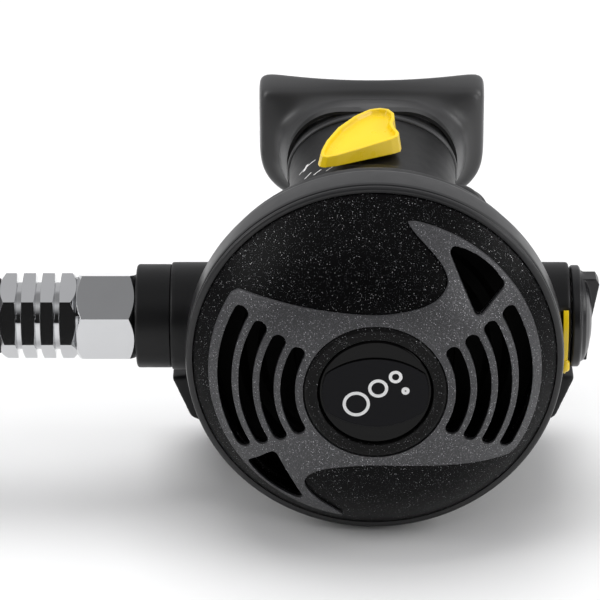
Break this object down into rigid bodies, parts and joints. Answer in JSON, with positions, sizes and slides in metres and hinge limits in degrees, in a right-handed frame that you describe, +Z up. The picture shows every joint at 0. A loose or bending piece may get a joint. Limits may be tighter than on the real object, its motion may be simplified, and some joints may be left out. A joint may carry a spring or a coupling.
{
  "type": "scuba regulator second stage",
  "caption": "Round second-stage breathing regulator with purge button, mouthpiece, venturi lever, adjustment knob, exhaust tee and a low-pressure hose.",
  "frame": {"origin": "on the flat foot under the exhaust tee, directly below the crossing of the valve axis and the cover axis", "axes": "+X along the valve axis to the adjustment knob (the hose leaves to -X), -Y out of the front cover, +Y to the mouthpiece, +Z up"},
  "size_m": [0.3443, 0.1975, 0.086],
  "materials": {
    "case_plastic": "fine-textured black nylon",
    "ring_plastic": "satin dark grey",
    "cover_black": "black with fine metallic flake",
    "accent_grey": "dark grey metallic paint",
    "button_gloss": "polished black",
    "badge_grey": "dark grey metallic with a plain bubble emblem",
    "stainless": "spring steel",
    "silicone_clear": "translucent silicone",
    "chrome_plate": "bright chrome plate",
    "brass_plain": "turned",
    "seat_rubber": "black",
    "poppet_plastic": "white acetal",
    "knob_plastic": "satin black",
    "yellow_plastic": "bright yellow",
    "protector_rubber": "matte black",
    "hose_rubber": "black rubber with a fine fabric-pricked skin",
    "mouthpiece_silicone": "matte dark grey silicone",
    "tie_plastic": "black nylon",
    "tee_plastic": "black rubber-like plastic"
  },
  "bodies": {
    "body": {"case": "case_plastic", "retaining_ring": "ring_plastic", "front_cover": "cover_black", "cover_accent": "accent_grey", "button_bezel": "cover_black", "purge_spring": "stainless", "diaphragm_membrane": "silicone_clear", "valve_barrel": "chrome_plate", "orifice": "brass_plain", "poppet_spring": "stainless", "knob_clip": "yellow_plastic", "inlet_collar": "case_plastic", "swivel_nut": "chrome_plate", "hose_stem": "chrome_plate", "hose_ferrule": "chrome_plate", "hose_protector": "protector_rubber", "hose_tube": "hose_rubber", "hose_coil": "hose_rubber", "end_ferrule": "chrome_plate", "end_fitting": "chrome_plate", "end_oring": "seat_rubber", "mouthpiece": "mouthpiece_silicone", "mouthpiece_tie": "tie_plastic", "exhaust_valve": "silicone_clear", "exhaust_tee": "tee_plastic"},
    "venturi_lever": {"venturi_lever": "yellow_plastic", "venturi_vane": "case_plastic"},
    "knob": {"adjustment_knob": "knob_plastic", "knob_spindle": "stainless", "spindle_oring": "seat_rubber"},
    "adjuster": {"spring_adjuster": "brass_plain"},
    "button": {"purge_button": "button_gloss", "button_badge": "badge_grey"},
    "diaphragm": {"diaphragm_plate": "stainless"},
    "demand_lever": {"demand_lever": "stainless"},
    "poppet": {"poppet": "poppet_plastic", "poppet_seat": "seat_rubber"}
  },
  "joints": [
    {"name": "venturi_turn", "type": "hinge", "parent": "body", "child": "venturi_lever", "pos_m": [0.0005, 0.028, 0.072], "axis": [0, 0, 1], "range_deg": [0, 55]},
    {"name": "knob_turn", "type": "hinge", "parent": "body", "child": "knob", "pos_m": [0.046, 0, 0.0435], "axis": [1, 0, 0], "range_deg": [-270.1, 270.1]},
    {"name": "spring_adjuster_slide", "type": "slide", "parent": "body", "child": "adjuster", "axis": [1, 0, 0], "range_m": [-0.00075, 0.00075], "deforming": ["poppet_spring"]},
    {"name": "purge_press", "type": "slide", "parent": "body", "child": "button", "axis": [0, 1, 0], "range_m": [0, 0.004], "stiffness_N_per_m": 600, "deforming": ["purge_spring"]},
    {"name": "diaphragm_travel", "type": "slide", "parent": "body", "child": "diaphragm", "axis": [0, 1, 0], "range_m": [0, 0.00401]},
    {"name": "demand_lever_tilt", "type": "hinge", "parent": "body", "child": "demand_lever", "pos_m": [0.0118, -0.0065, 0.0435], "axis": [0, 0, -1], "range_deg": [0, 14.4]},
    {"name": "poppet_travel", "type": "slide", "parent": "body", "child": "poppet", "axis": [1, 0, 0], "range_m": [0, 0.00151], "deforming": ["poppet_spring"]}
  ],
  "couplings": [
    {"joint": "knob_turn", "follows": "spring_adjuster_slide", "rad_per_m": 6283.2},
    {"joint": "diaphragm_travel", "follows": "purge_press", "ratio": 1},
    {"joint": "demand_lever_tilt", "follows": "purge_press", "rad_per_m": 62.5},
    {"joint": "poppet_travel", "follows": "purge_press", "ratio": 0.375}
  ]
}
